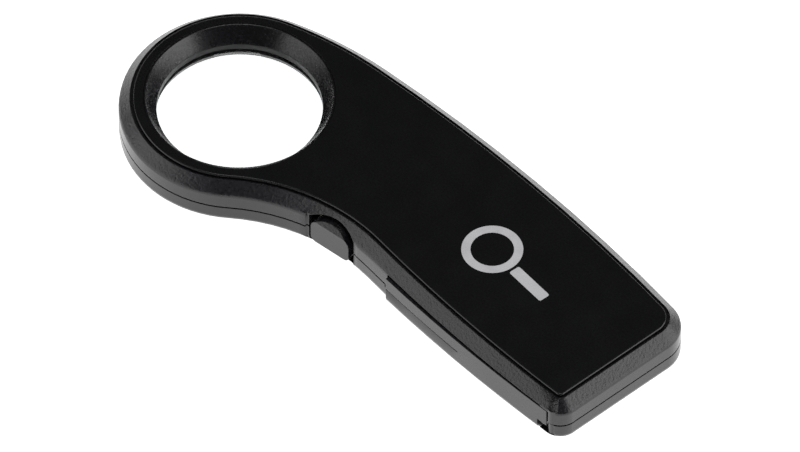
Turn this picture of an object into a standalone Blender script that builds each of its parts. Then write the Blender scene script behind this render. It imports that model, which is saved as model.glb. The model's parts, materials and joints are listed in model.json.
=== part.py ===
"""A lit hand lens: a round lens in the head of a flat two-shell plastic case, with a light, a side
button that works the switch, and a side door on a hinge pin that lets in two AAA cells.

The drawing frame has the lens axis as its origin, +X along the handle and +Z out of the front.
An empty shifts that frame, so that the case stands on the world origin. Metres throughout.
"""

from math import atan2, ceil, cos, hypot, pi, radians, sin, sqrt

import bmesh
import bpy
from mathutils import Matrix, Vector

MM = 0.001

# ---- Case outline, seen from the front: tangent arcs and one straight end -------------------
HEAD_R = 29.1 * MM
END_X = 124.5 * MM
SIDE_R = 478.0 * MM
FAR_CREST_X = 75.6 * MM
FAR_RISE = 8.5 * MM
NEAR_CREST = (86.1 * MM, -9.15 * MM)
SHOULDER_X = 14.5 * MM
NECK_R = 47.8 * MM
FAR_CORNER_R = 8.9 * MM
NEAR_CORNER_R = 4.8 * MM
ARC_STEP = radians(4.5)

# ---- Case section ---------------------------------------------------------------------------
CASE_T = 14.0 * MM
BEVEL_W = 2.75 * MM
BEVEL_H = 2.85 * MM
LOW_BEVEL_H = 3.2 * MM
EDGE_SOFT = 0.5 * MM
WALL = 1.6 * MM
FLOOR = 1.4 * MM
ROOF = 1.0 * MM
SEAM = 0.45 * MM
GAP = 0.25 * MM

# ---- Front panel ----------------------------------------------------------------------------
PANEL_GROOVE = 0.75 * MM
PANEL_SINK = 0.6 * MM
PANEL_PROUD = 0.45 * MM
PANEL_EDGE = 0.25 * MM

# ---- Lens and its seat ----------------------------------------------------------------------
RIM_R = 22.7 * MM
BORE_R = 20.0 * MM
CONE_H = 4.0 * MM
LENS_R = 21.0 * MM
STEP_H = 2.0 * MM
LENS_EDGE = 2.1 * MM
LENS_CURVE_R = 98.0 * MM
LENS_PLAY = 0.15 * MM
BARREL_R = 24.0 * MM
ROUND = 64

# ---- Push button, in its own frame: x along the wall, y inwards from the face, z up ----------
BUTTON_SPOT = radians(11.15)
BUTTON_TURN = radians(9.1)
BUTTON_PROUD = 0.5 * MM
BUTTON_HALF_W = 5.85 * MM
BUTTON_LOW_Z = 3.1 * MM
BUTTON_SHOULDER_Z = 8.05 * MM
BUTTON_ARCH_RISE = 3.4 * MM
BUTTON_CORNER_R = 1.5 * MM
BUTTON_FACET_Z = 10.25 * MM
HOLE_MIDDLE = 0.35 * MM
HOLE_SIDE_GAP = 1.1 * MM
HOLE_LOW_GAP = 0.85 * MM
HOLE_SHOULDER_GAP = 3.15 * MM
HOLE_ARCH_RISE = 1.75 * MM
BUTTON_TRAVEL = 1.0 * MM
FLANGE_T = 1.0 * MM
FLANGE_LIP = 1.9 * MM
STEM_R = 1.8 * MM
STEM_L = 2.0 * MM
FRAME_LIP = 0.7 * MM
FRAME_SINK = -0.2 * MM

# ---- Switch, board and parts on it ----------------------------------------------------------
BOARD_X = (32.5 * MM, 54.5 * MM)
BOARD_Y = (-2.6 * MM, 18.0 * MM)
BOARD_Z = 3.1 * MM
BOARD_T = 1.2 * MM
SWITCH_SIZE = 6.0 * MM
PLUNGER_W = 2.4 * MM
PLUNGER_OUT = 2.0 * MM
PLUNGER_IN = 2.2 * MM
RESISTOR_R = 1.1 * MM
RESISTOR_L = 6.0 * MM
LED_R = 1.5 * MM
LED_AT_R = 24.3 * MM
LED_Z = 4.6 * MM
LED_MIDDLE = radians(15)
LED_SPREAD = radians(17)
LED_TILT = radians(45)
LED_BACK = 2.0 * MM
LED_TIP = 2.6 * MM

# ---- Cells, contacts and their bay ----------------------------------------------------------
CELL_R = 5.15 * MM
CELL_BODY = 43.5 * MM
CELL_NUB_R = 1.9 * MM
CELL_NUB = 0.9 * MM
CELL_PITCH = 10.8 * MM
CELL_SIDE_PLAY = 0.3 * MM
SPRING_L = 5.0 * MM
SPRING_WIRE_R = 0.3 * MM
SPRING_TURNS = 4
PLATE_T = 0.4 * MM
PLATE_H = 8.8 * MM
RIB_T = 1.1 * MM
BAY_RIB_LOW_Z = 3.0 * MM
WIRE_R = 0.45 * MM

# ---- Battery door and its hinge -------------------------------------------------------------
PIN_AT = (120.9 * MM, -6.3 * MM)
PIN_R = 0.5 * MM
PIN_Z = (2.3 * MM, 10.1 * MM)
PIN_PLAY = 0.05 * MM
KNUCKLE_R = 1.55 * MM
DOOR_KNUCKLE_R = 1.3 * MM
DOOR_REACH = 57.0 * MM
DOOR_LOW_END_X = 117.1 * MM
DOOR_LOW_END_GAP = 0.5 * MM
DOOR_TAIL_LOW_Z = 5.6 * MM
DOOR_TOP_GAP = 0.45 * MM
DOOR_PROUD = 0.8 * MM
DOOR_LINE = (0.3 * MM, 0.3 * MM)
DOOR_LINE_END_X = 90.0 * MM
NAIL_PIT_R = 0.55 * MM

# ---- Case screws ----------------------------------------------------------------------------
SCREWS_AT = [(31.0 * MM, 24.0 * MM), (59.6 * MM, 0.6 * MM), (60.0 * MM, 28.5 * MM), (112.0 * MM, 26.5 * MM)]
SCREW_HEAD_R = 1.9 * MM
SCREW_HEAD_H = 1.4 * MM
SCREW_R = 0.95 * MM
SCREW_TOP_Z = 11.3 * MM
SCREW_SEAT_Z = 3.2 * MM
SCREW_PLAY = 0.12 * MM
BOSS_R = 2.6 * MM

# ---- Levels that follow from the values above -----------------------------------------------
SEAM_Z = CASE_T / 2
WALL_LOW_Z = LOW_BEVEL_H
WALL_TOP_Z = CASE_T - BEVEL_H
PANEL_FLOOR_Z = CASE_T - PANEL_SINK
ROOF_Z = PANEL_FLOOR_Z - ROOF
PANEL_TOP_Z = CASE_T + PANEL_PROUD
CONE_LOW_Z = PANEL_TOP_Z - CONE_H
DOOR_TOP_Z = WALL_TOP_Z - DOOR_TOP_GAP
HINGE_ROOM_X = DOOR_LOW_END_X + DOOR_LOW_END_GAP

# ---- Case outline ---------------------------------------------------------------------------
FAR_CREST_Y = HEAD_R + FAR_RISE
FAR_CENTRE = (FAR_CREST_X, FAR_CREST_Y - SIDE_R)
NEAR_CENTRE = (NEAR_CREST[0], NEAR_CREST[1] + SIDE_R)


def corner_centre(side_centre, radius, side):
    """Centre of the corner arc that touches the straight end and, from inside, one long side."""
    x = END_X - radius
    rise = sqrt((SIDE_R - radius) ** 2 - (x - side_centre[0]) ** 2)
    return (x, side_centre[1] + side * rise)


def shoulder_arc():
    """(centre, radius) of the arc that joins the far side at SHOULDER_X to the round head."""
    px = SHOULDER_X
    py = FAR_CENTRE[1] + sqrt(SIDE_R**2 - (px - FAR_CENTRE[0]) ** 2)
    ux = (FAR_CENTRE[0] - px) / SIDE_R
    uy = (FAR_CENTRE[1] - py) / SIDE_R
    radius = (HEAD_R**2 - px**2 - py**2) / (2 * (px * ux + py * uy + HEAD_R))
    return (px + radius * ux, py + radius * uy), radius


def neck_centre():
    """Centre of the hollow neck arc, which touches the head and the near side from outside."""
    reach_head = HEAD_R + NECK_R
    reach_side = SIDE_R + NECK_R
    span = hypot(*NEAR_CENTRE)
    along = (reach_head**2 - reach_side**2 + span**2) / (2 * span)
    across = sqrt(reach_head**2 - along**2)
    ux, uy = NEAR_CENTRE[0] / span, NEAR_CENTRE[1] / span
    return (along * ux + across * uy, along * uy - across * ux)


def towards(start, end):
    return atan2(end[1] - start[1], end[0] - start[0])


def outline_arcs():
    """The outline counter-clockwise, as (centre, radius, from angle, to angle); the hollow one turns back."""
    near_corner = corner_centre(NEAR_CENTRE, NEAR_CORNER_R, -1)
    far_corner = corner_centre(FAR_CENTRE, FAR_CORNER_R, 1)
    shoulder, shoulder_r = shoulder_arc()
    neck = neck_centre()
    head = (0.0, 0.0)
    near_end = towards(NEAR_CENTRE, near_corner)
    far_end = towards(FAR_CENTRE, far_corner)
    far_start = towards(shoulder, FAR_CENTRE) + pi
    head_start = towards(shoulder, head)
    head_end = towards(head, neck)
    neck_end = towards(neck, NEAR_CENTRE)
    return [
        (near_corner, NEAR_CORNER_R, near_end, 0.0),
        (far_corner, FAR_CORNER_R, 0.0, far_end),
        (FAR_CENTRE, SIDE_R, far_end, far_start),
        (shoulder, shoulder_r, far_start, head_start),
        (head, HEAD_R, head_start, head_end + 2 * pi),
        (neck, NECK_R, head_end + pi, neck_end),
        (NEAR_CENTRE, SIDE_R, neck_end - pi, near_end),
    ]


def outline(inset):
    """Points of the case outline, moved inwards by inset."""
    points = []
    for (cx, cy), radius, start, end in outline_arcs():
        reach = radius - inset if end > start else radius + inset
        # The long sides turn little, so they take a fixed number of steps.
        steps = max(8, ceil(abs(end - start) / ARC_STEP))
        for i in range(steps):
            angle = start + (end - start) * i / steps
            points.append((cx + reach * cos(angle), cy + reach * sin(angle)))
    return points


def near_side_y(x, inset=0.0):
    """Where the near side lies at x."""
    return NEAR_CENTRE[1] - sqrt((SIDE_R - inset) ** 2 - (x - NEAR_CENTRE[0]) ** 2)


# ---- Scene and helpers ----------------------------------------------------------------------
for old in list(bpy.data.objects):
    bpy.data.objects.remove(old, do_unlink=True)

parts = bpy.data.collections.new("hand_lens")
tools = bpy.data.collections.new("cutters")
tools.hide_render = True
bpy.context.scene.collection.children.link(parts)
bpy.context.scene.collection.children.link(tools)

# The box of the case in plan is centred on the world origin.
CENTRE_X = (END_X - HEAD_R) / 2
CENTRE_Y = (FAR_CREST_Y - HEAD_R) / 2
base = bpy.data.objects.new("hand_lens_frame", None)
base.location = (-CENTRE_X, -CENTRE_Y, 0.0)
parts.objects.link(base)


def finish(name, colour, roughness, metallic=0.0, alpha=1.0):
    """A plain Principled material."""
    material = bpy.data.materials.new(name)
    material.use_nodes = True
    shader = material.node_tree.nodes["Principled BSDF"]
    shader.inputs["Base Color"].default_value = (*colour, 1.0)
    shader.inputs["Roughness"].default_value = roughness
    shader.inputs["Metallic"].default_value = metallic
    shader.inputs["Alpha"].default_value = alpha
    return material


CASE_BLACK = finish("textured_black_abs", (0.022, 0.022, 0.025), 0.45)
PANEL_BLACK = finish("satin_black_abs", (0.006, 0.006, 0.007), 0.3)
RING_BLACK = finish("smooth_black_abs", (0.01, 0.01, 0.01), 0.35)
CLEAR = finish("clear_acrylic", (0.9, 0.95, 0.95), 0.02, alpha=0.3)
BOARD_GREEN = finish("green_board", (0.02, 0.12, 0.05), 0.5)
NICKEL = finish("nickel_plate", (0.7, 0.68, 0.65), 0.3, 1.0)
STEEL = finish("bright_steel", (0.6, 0.6, 0.62), 0.3, 1.0)
SWITCH_GREY = finish("switch_nylon", (0.05, 0.05, 0.055), 0.5)
PLUNGER_WHITE = finish("plunger_nylon", (0.7, 0.7, 0.68), 0.5)
RESISTOR_TAN = finish("resistor_lacquer", (0.5, 0.36, 0.2), 0.4)
LED_CLEAR = finish("led_epoxy", (0.85, 0.85, 0.75), 0.05, alpha=0.5)
WIRE_RED = finish("red_pvc", (0.5, 0.02, 0.02), 0.4)
WIRE_BLACK = finish("black_pvc", (0.015, 0.015, 0.015), 0.4)
CELL_JACKET = finish("cell_jacket", (0.12, 0.13, 0.15), 0.35, 0.4)


def add(name, mesh, material=None, place=None, smooth=True):
    """A new object of the mesh under the base empty; with no material it is a cutter."""
    obj = bpy.data.objects.new(name, mesh)
    if material is None:
        tools.objects.link(obj)
        obj.hide_render = True
        obj.display_type = "WIRE"
    else:
        parts.objects.link(obj)
        mesh.materials.append(material)
    if smooth:
        mesh.shade_smooth()
        mesh.set_sharp_from_angle(angle=radians(25))
    obj.parent = base
    if place is not None:
        obj.matrix_local = place
    return obj


def mesh_of(bm, name):
    bmesh.ops.recalc_face_normals(bm, faces=bm.faces)
    mesh = bpy.data.meshes.new(name)
    bm.to_mesh(mesh)
    bm.free()
    return mesh


def stack(name, sections, material=None, place=None):
    """A solid through plan sections [(points, z), ...]: one face, extruded to each section in turn."""
    bm = bmesh.new()
    points, z = sections[0]
    face = bm.faces.new([bm.verts.new((x, y, z)) for x, y in points])
    spot = {vert: i for i, vert in enumerate(face.verts)}
    for level, (points, z) in enumerate(sections[1:]):
        made = bmesh.ops.extrude_face_region(bm, geom=[face])["geom"]
        if level:
            # The section extruded from would be left inside the solid.
            bmesh.ops.delete(bm, geom=[face], context="FACES_ONLY")
        face = next(item for item in made if isinstance(item, bmesh.types.BMFace))
        reached = {}
        for vert in face.verts:
            below = next(e.other_vert(vert) for e in vert.link_edges if e.other_vert(vert) in spot)
            reached[vert] = spot[below]
            vert.co = (*points[spot[below]], z)
        spot = reached
    return add(name, mesh_of(bm, name), material, place)


def case_solid(name, levels, material=None):
    """A solid whose plan is the case outline, at [(inset, z), ...]."""
    return stack(name, [(outline(inset), z) for inset, z in levels], material)


def box(name, low, high, material=None, place=None, soft=0.0):
    bm = bmesh.new()
    bmesh.ops.create_cube(bm, size=1.0)
    size = [b - a for a, b in zip(low, high)]
    middle = [(a + b) / 2 for a, b in zip(low, high)]
    bmesh.ops.scale(bm, vec=size, verts=bm.verts)
    bmesh.ops.translate(bm, vec=middle, verts=bm.verts)
    obj = add(name, mesh_of(bm, name), material, place)
    if soft:
        bevel = obj.modifiers.new("soft_edges", "BEVEL")
        bevel.width = soft
        bevel.segments = 2
    return obj


def cylinder(name, at, radius, low, high, material=None, place=None, segments=32):
    bm = bmesh.new()
    bmesh.ops.create_cone(
        bm, cap_ends=True, segments=segments, radius1=radius, radius2=radius, depth=high - low
    )
    bmesh.ops.translate(bm, vec=(at[0], at[1], (low + high) / 2), verts=bm.verts)
    return add(name, mesh_of(bm, name), material, place)


def turned(name, profile, material=None, place=None, steps=ROUND):
    """A profile [(radius, z), ...] from top to bottom on its outer side, turned round Z."""
    mesh = bpy.data.meshes.new(name)
    closed = profile[0][0] > 0 or profile[-1][0] > 0
    edges = [(i, i + 1) for i in range(len(profile) - 1)]
    if closed:
        edges.append((len(profile) - 1, 0))
    mesh.from_pydata([(r, 0.0, z) for r, z in profile], edges, [])
    obj = add(name, mesh, material, place, smooth=False)
    screw = obj.modifiers.new("turn", "SCREW")
    screw.angle = 2 * pi
    screw.steps = steps
    screw.render_steps = steps
    screw.use_merge_vertices = True
    screw.merge_threshold = 0.00001
    screw.use_smooth_shade = True
    return obj


def tube(name, points, radius, material=None, smooth_path=True):
    """A round wire through the points, as a mesh with welded caps."""
    curve = bpy.data.curves.new(name, "CURVE")
    curve.dimensions = "3D"
    curve.bevel_depth = radius
    curve.bevel_resolution = 2
    curve.use_fill_caps = True
    if smooth_path:
        spline = curve.splines.new("BEZIER")
        spline.bezier_points.add(len(points) - 1)
        spline.resolution_u = 5
        for knot, point in zip(spline.bezier_points, points):
            knot.co = point
            knot.handle_left_type = "AUTO"
            knot.handle_right_type = "AUTO"
    else:
        spline = curve.splines.new("POLY")
        spline.points.add(len(points) - 1)
        for knot, point in zip(spline.points, points):
            knot.co = (*point, 1.0)
    guide = bpy.data.objects.new(name + "_path", curve)
    tools.objects.link(guide)
    bpy.context.view_layer.update()
    graph = bpy.context.evaluated_depsgraph_get()
    mesh = bpy.data.meshes.new_from_object(guide.evaluated_get(graph))
    bpy.data.objects.remove(guide, do_unlink=True)
    bm = bmesh.new()
    bm.from_mesh(mesh)
    bmesh.ops.remove_doubles(bm, verts=bm.verts, dist=0.00001)
    bpy.data.meshes.remove(mesh)
    return add(name, mesh_of(bm, name), material)


def combine(target, operation, *others):
    """Live Booleans of the target with each of the others, which join the cutters."""
    for other in others:
        modifier = target.modifiers.new(other.name, "BOOLEAN")
        modifier.operation = operation
        modifier.object = other
        modifier.solver = "EXACT"


def cut(target, *others):
    combine(target, "DIFFERENCE", *others)


def join(target, *others):
    combine(target, "UNION", *others)


def keep(target, *others):
    combine(target, "INTERSECT", *others)


def about_pin(angle):
    """A turn about the door's hinge pin."""
    there = Matrix.Translation((PIN_AT[0], PIN_AT[1], 0.0))
    return there @ Matrix.Rotation(angle, 4, "Z") @ there.inverted()


# ---- Sections of the case -------------------------------------------------------------------
def bevel_levels(height):
    """(inset, height past the wall) along the sloped edge, softened where it meets wall and flat."""
    slope = BEVEL_W / height
    return [
        (0.0, -EDGE_SOFT),
        (0.25 * EDGE_SOFT * slope, 0.3 * EDGE_SOFT),
        (EDGE_SOFT * slope, EDGE_SOFT),
        (BEVEL_W - 0.3 * EDGE_SOFT * slope, height - 0.3 * EDGE_SOFT),
        (BEVEL_W, height),
    ]


def cavity_levels():
    """(inset, height above the wall) of the hollow's sloped edge, a wall's thickness inside."""
    slope = BEVEL_W / BEVEL_H
    rise = ROOF_Z - WALL_TOP_Z
    return [(WALL, -EDGE_SOFT), (WALL + (rise + EDGE_SOFT) * slope, rise)]


UPPER_OUT = [(inset, WALL_TOP_Z + rise) for inset, rise in bevel_levels(BEVEL_H)]
LOWER_OUT = [(inset, WALL_LOW_Z - rise) for inset, rise in bevel_levels(LOW_BEVEL_H)]
UPPER_IN = [(inset, WALL_TOP_Z + rise) for inset, rise in cavity_levels()]
LOWER_IN = [(WALL, WALL_LOW_Z + EDGE_SOFT), (WALL + (LOW_BEVEL_H - FLOOR) * BEVEL_W / LOW_BEVEL_H, FLOOR)]
PAST = 2.0 * MM


# ---- Lens, its ring and the tapered opening -------------------------------------------------
def dome_drop(radius):
    """How far either face of the lens falls from its middle out to this radius."""
    return LENS_CURVE_R - sqrt(LENS_CURVE_R**2 - radius**2)


# The lens bulges a little past its own rim where its seats meet it.
SEAT_PLAY = dome_drop(LENS_R) - dome_drop(BORE_R) + LENS_PLAY
LENS_TOP_Z = CONE_LOW_Z - STEP_H - SEAT_PLAY
LENS_LOW_Z = LENS_TOP_Z - LENS_EDGE


def lens_profile():
    """Half section of the biconvex lens, from the top of its front dome round to the back."""
    radii = [LENS_R * i / 6 for i in range(7)]
    domes = [(radius, dome_drop(LENS_R) - dome_drop(radius)) for radius in radii]
    front = [(radius, LENS_TOP_Z + rise) for radius, rise in domes]
    back = [(radius, LENS_LOW_Z - rise) for radius, rise in reversed(domes)]
    return front + back


RING_TOP_Z = CONE_LOW_Z - LENS_PLAY
RING_LOW_Z = CONE_LOW_Z - STEP_H
BACK_CONE_H = CONE_H
SEAT_R = LENS_R + LENS_PLAY

lens = turned("lens", lens_profile(), CLEAR)
lens_ring = turned(
    "lens_ring",
    [
        (BORE_R, RING_TOP_Z),
        (LENS_R, RING_TOP_Z),
        (LENS_R, RING_LOW_Z),
        (BORE_R, RING_LOW_Z),
    ],
    RING_BLACK,
)


def front_cone_r(z):
    """Radius of the tapered opening at height z."""
    return BORE_R + (RIM_R - BORE_R) * (z - CONE_LOW_Z) / CONE_H


opening_front = turned(
    "opening_front",
    [
        (0.0, PANEL_TOP_Z + PAST),
        (front_cone_r(PANEL_TOP_Z + PAST), PANEL_TOP_Z + PAST),
        (BORE_R, CONE_LOW_Z),
        (SEAT_R, CONE_LOW_Z),
        (SEAT_R, SEAM_Z - PAST),
        (0.0, SEAM_Z - PAST),
    ],
)
opening_back = turned(
    "opening_back",
    [
        (0.0, SEAM_Z + PAST),
        (SEAT_R, SEAM_Z + PAST),
        (SEAT_R, LENS_LOW_Z - SEAT_PLAY),
        (BORE_R, LENS_LOW_Z - SEAT_PLAY),
        (BORE_R, BACK_CONE_H),
        (RIM_R + (RIM_R - BORE_R) * PAST / BACK_CONE_H, -PAST),
        (0.0, -PAST),
    ],
)

# ---- Front panel ----------------------------------------------------------------------------
RECESS_INSET = BEVEL_W + 0.05 * MM
PANEL_INSET = RECESS_INSET + PANEL_GROOVE
PANEL_LOW_Z = PANEL_FLOOR_Z + 0.1 * MM
front_panel = case_solid(
    "front_panel",
    [
        (PANEL_INSET, PANEL_LOW_Z),
        (PANEL_INSET, PANEL_TOP_Z - PANEL_EDGE),
        (PANEL_INSET + 0.3 * PANEL_EDGE, PANEL_TOP_Z - 0.3 * PANEL_EDGE),
        (PANEL_INSET + PANEL_EDGE, PANEL_TOP_Z),
    ],
    PANEL_BLACK,
)
cut(front_panel, opening_front)

# ---- Push button ----------------------------------------------------------------------------
# The face stands out of the hollow neck wall, so it is nearer the middle of the neck's arc.
BUTTON_REACH = NECK_R - BUTTON_PROUD
BUTTON_AT = (
    neck_centre()[0] - BUTTON_REACH * sin(BUTTON_SPOT),
    neck_centre()[1] + BUTTON_REACH * cos(BUTTON_SPOT),
)
BUTTON_FRAME = Matrix.Translation((*BUTTON_AT, 0.0)) @ Matrix.Rotation(BUTTON_TURN, 4, "Z")
# Stands a plan shape upright: its x stays along the wall, its y becomes height, its z comes out.
UPRIGHT = Matrix.Rotation(radians(90), 4, "X")


def arch(middle, half, low, shoulder, rise, corner, top):
    """An outline on the wall as (along, height): round feet, upright sides and the given top."""
    points = []
    for cx, start in ((-half + corner, 180), (half - corner, 270)):
        for i in range(5):
            angle = radians(start + 22.5 * i)
            points.append((middle + cx + corner * cos(angle), low + corner + corner * sin(angle)))
    for i in range(13):
        x = half * cos(pi * i / 12)
        points.append((middle + x, shoulder + top(x, half, rise)))
    return points


def flat_arc(x, half, rise):
    """Height of a round arc that meets upright sides at a corner."""
    radius = (half**2 + rise**2) / (2 * rise)
    return rise - radius + sqrt(radius**2 - x**2)


def oval(x, half, rise):
    """Height of half an oval, which runs on from upright sides."""
    return rise * sqrt(max(0.0, 1 - (x / half) ** 2))


def hole_arch(spread):
    """The outline of the opening in the wall, grown by spread."""
    return arch(
        HOLE_MIDDLE,
        BUTTON_HALF_W + HOLE_SIDE_GAP + spread,
        BUTTON_LOW_Z - HOLE_LOW_GAP - spread,
        BUTTON_SHOULDER_Z + HOLE_SHOULDER_GAP + spread,
        HOLE_ARCH_RISE,
        BUTTON_CORNER_R + spread / 2,
        flat_arc,
    )


def upright(name, points, inner, outer, material=None):
    """A solid whose outline stands on the button's wall, from outer to inner along the button's way in."""
    place = BUTTON_FRAME @ UPRIGHT
    return stack(name, [(points, -inner), (points, -outer)], material, place)


FLANGE_Y = BUTTON_PROUD + WALL + 0.35 * MM
button_arch = arch(
    0.0, BUTTON_HALF_W, BUTTON_LOW_Z, BUTTON_SHOULDER_Z, BUTTON_ARCH_RISE, BUTTON_CORNER_R, oval
)
push_button = upright("push_button", button_arch, FLANGE_Y + FLANGE_T, 0.0, CASE_BLACK)

# The button's upper front is sloped like the case's edge, which leaves a half-moon facet.
facet_run = 4.0 * MM
facet_rise = facet_run * BEVEL_H / BEVEL_W
facet = stack(
    "button_facet",
    [
        (
            [
                (-PAST, BUTTON_FACET_Z - PAST * BEVEL_H / BEVEL_W),
                (facet_run, BUTTON_FACET_Z + facet_rise),
                (-PAST, BUTTON_FACET_Z + facet_rise),
            ],
            x,
        )
        for x in (-2 * BUTTON_HALF_W, 2 * BUTTON_HALF_W)
    ],
    None,
    BUTTON_FRAME @ Matrix(((0, 0, 1, 0), (1, 0, 0, 0), (0, 1, 0, 0), (0, 0, 0, 1))),
)
FLANGE_HALF_W = BUTTON_HALF_W + FLANGE_LIP
flange = box(
    "button_flange",
    (-FLANGE_HALF_W, FLANGE_Y, BUTTON_LOW_Z + 0.3 * MM),
    (FLANGE_HALF_W, FLANGE_Y + FLANGE_T, BUTTON_SHOULDER_Z - 0.3 * MM),
    None,
    BUTTON_FRAME,
)
stem_place = BUTTON_FRAME @ Matrix.Translation((0.0, 0.0, SEAM_Z)) @ Matrix.Rotation(radians(-90), 4, "X")
stem = cylinder(
    "button_stem", (0.0, 0.0), STEM_R, FLANGE_Y, FLANGE_Y + FLANGE_T + STEM_L, None, stem_place, 24
)
cut(push_button, facet)
join(push_button, flange, stem)

# The opening for the button, and the shallow frame round it.
button_hole = upright("button_hole", hole_arch(0.0), BUTTON_PROUD + 4 * WALL, -PAST)
button_frame = upright("button_frame", hole_arch(FRAME_LIP), BUTTON_PROUD + FRAME_SINK, -PAST)

# ---- Switch and board -----------------------------------------------------------------------
PLUNGER_Y = FLANGE_Y + FLANGE_T + STEM_L + 0.1 * MM
SWITCH_Y = PLUNGER_Y + PLUNGER_OUT
HALF_SWITCH = SWITCH_SIZE / 2
switch_low_z = BOARD_Z + BOARD_T + 0.1 * MM
switch_body = box(
    "switch_body",
    (-HALF_SWITCH, SWITCH_Y, switch_low_z),
    (HALF_SWITCH, SWITCH_Y + SWITCH_SIZE, SEAM_Z + HALF_SWITCH - 0.4 * MM),
    SWITCH_GREY,
    BUTTON_FRAME,
)
half_plunger = PLUNGER_W / 2
switch_plunger = box(
    "switch_plunger",
    (-half_plunger, PLUNGER_Y, SEAM_Z - half_plunger),
    (half_plunger, SWITCH_Y + PLUNGER_IN, SEAM_Z + half_plunger),
    PLUNGER_WHITE,
    BUTTON_FRAME,
    0.2 * MM,
)
socket_half = half_plunger + 0.1 * MM
switch_socket = box(
    "switch_socket",
    (-socket_half, SWITCH_Y - PAST, SEAM_Z - socket_half),
    (socket_half, SWITCH_Y + PLUNGER_IN + BUTTON_TRAVEL + 0.3 * MM, SEAM_Z + socket_half),
    None,
    BUTTON_FRAME,
)
cut(switch_body, switch_socket)

circuit_board = box(
    "circuit_board",
    (BOARD_X[0], BOARD_Y[0], BOARD_Z),
    (BOARD_X[1], BOARD_Y[1], BOARD_Z + BOARD_T),
    BOARD_GREEN,
)
BOARD_TOP_Z = BOARD_Z + BOARD_T


def resistor_profile():
    """Half section of a leaded resistor's body with its two swollen ends."""
    ends = [(0.0, 0.5), (0.6, 0.5), (0.95, 0.42), (1.0, 0.32), (0.8, 0.24)]
    upper = [(RESISTOR_R * r, RESISTOR_L * z) for r, z in ends]
    return upper + [(r, -z) for r, z in reversed(upper)]


RESISTOR_AT = Matrix.Translation((44.0 * MM, 14.6 * MM, BOARD_TOP_Z + RESISTOR_R + 0.2 * MM))
resistor = turned(
    "resistor", resistor_profile(), RESISTOR_TAN, RESISTOR_AT @ Matrix.Rotation(radians(90), 4, "Y"), 20
)


# ---- Lights ---------------------------------------------------------------------------------
def led_place(side):
    """The light's own frame: its z points forwards, down and in towards the lens axis."""
    turn = LED_MIDDLE + side * LED_SPREAD
    at = Matrix.Translation((LED_AT_R * cos(turn), LED_AT_R * sin(turn), LED_Z))
    return at @ Matrix.Rotation(turn, 4, "Z") @ Matrix.Rotation(-(pi / 2 + LED_TILT), 4, "Y")


def led_profile():
    """Half section: a round dome, a straight body and a flange at the back."""
    dome = []
    for i in range(7):
        angle = radians(90 - 15 * i)
        dome.append((LED_R * cos(angle), LED_TIP - LED_R + LED_R * sin(angle)))
    flange_top = -LED_BACK + 0.7 * MM
    rim = LED_R + 0.3 * MM
    return dome + [(LED_R, flange_top), (rim, flange_top), (rim, -LED_BACK), (0.0, -LED_BACK)]


LEAD_R = 0.25 * MM
led_holes = []
for name, side in (("led_near", -1), ("led_far", 1)):
    place = led_place(side)
    led = turned(name, led_profile(), LED_CLEAR, place, 24)
    for number, step in enumerate((-0.9, 0.9)):
        root = place @ Vector((0.0, step * MM, -LED_BACK + 0.5 * MM))
        out = place @ Vector((0.0, step * MM, -LED_BACK - 1.0 * MM))
        rest = Vector((BOARD_X[0] + 2.5 * MM, out.y, BOARD_TOP_Z + 0.6 * MM))
        bend = (out + rest) / 2 + Vector((0.0, 0.0, 0.4 * MM))
        join(led, tube(f"{name}_lead_{number}", [root, out, bend, rest], LEAD_R))
    hole_r = LED_R + 0.2 * MM
    led_holes.append(cylinder(f"{name}_hole", (0.0, 0.0), hole_r, -LED_BACK, 9 * MM, None, place, 24))
    back_r = LED_R + 0.3 * MM + 0.25 * MM
    led_holes.append(
        cylinder(f"{name}_flange_hole", (0.0, 0.0), back_r, -6 * MM, -LED_BACK + 0.95 * MM, None, place, 24)
    )

# ---- Cells and contacts ---------------------------------------------------------------------
CELL_Z = (FLOOR + ROOF_Z) / 2
REST = 0.25 * MM
LEFT_RIB_X = 65.1 * MM
LEFT_PLATE_X = LEFT_RIB_X + RIB_T + REST
BAY_X = LEFT_PLATE_X + PLATE_T + REST
BAY_L = CELL_NUB + CELL_BODY + REST + SPRING_L
RIGHT_PLATE_X = BAY_X + BAY_L + REST
RIGHT_RIB_X = RIGHT_PLATE_X + PLATE_T + REST
# The near side closes in towards the end, so the bay takes its distance from there.
CELL_NEAR_Y = near_side_y(RIGHT_RIB_X + RIB_T) + WALL + CELL_SIDE_PLAY + CELL_R
CELL_FAR_Y = CELL_NEAR_Y + CELL_PITCH
BAY_INNER_Y = CELL_FAR_Y + CELL_R + 0.6 * MM
DOOR_INNER_Y = CELL_FAR_Y + CELL_R + 0.3 * MM


def cell_profile():
    """Half section of a cell standing on its flat end, with the contact nub on top."""
    soft = 0.4 * MM
    return [
        (0.0, CELL_BODY + CELL_NUB),
        (CELL_NUB_R, CELL_BODY + CELL_NUB),
        (CELL_NUB_R, CELL_BODY),
        (CELL_R - soft, CELL_BODY),
        (CELL_R, CELL_BODY - soft),
        (CELL_R, soft),
        (CELL_R - soft, 0.0),
        (0.0, 0.0),
    ]


def lying(x, y, sign):
    """A frame whose z runs along the handle, forwards (+1) or back to the head (-1)."""
    return Matrix.Translation((x, y, CELL_Z)) @ Matrix.Rotation(sign * radians(90), 4, "Y")


battery_cell_near = turned(
    "battery_cell_near", cell_profile(), CELL_JACKET, lying(BAY_X + CELL_NUB + CELL_BODY, CELL_NEAR_Y, -1), 32
)
battery_cell_far = turned(
    "battery_cell_far", cell_profile(), CELL_JACKET, lying(BAY_X + SPRING_L + REST, CELL_FAR_Y, 1), 32
)


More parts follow.
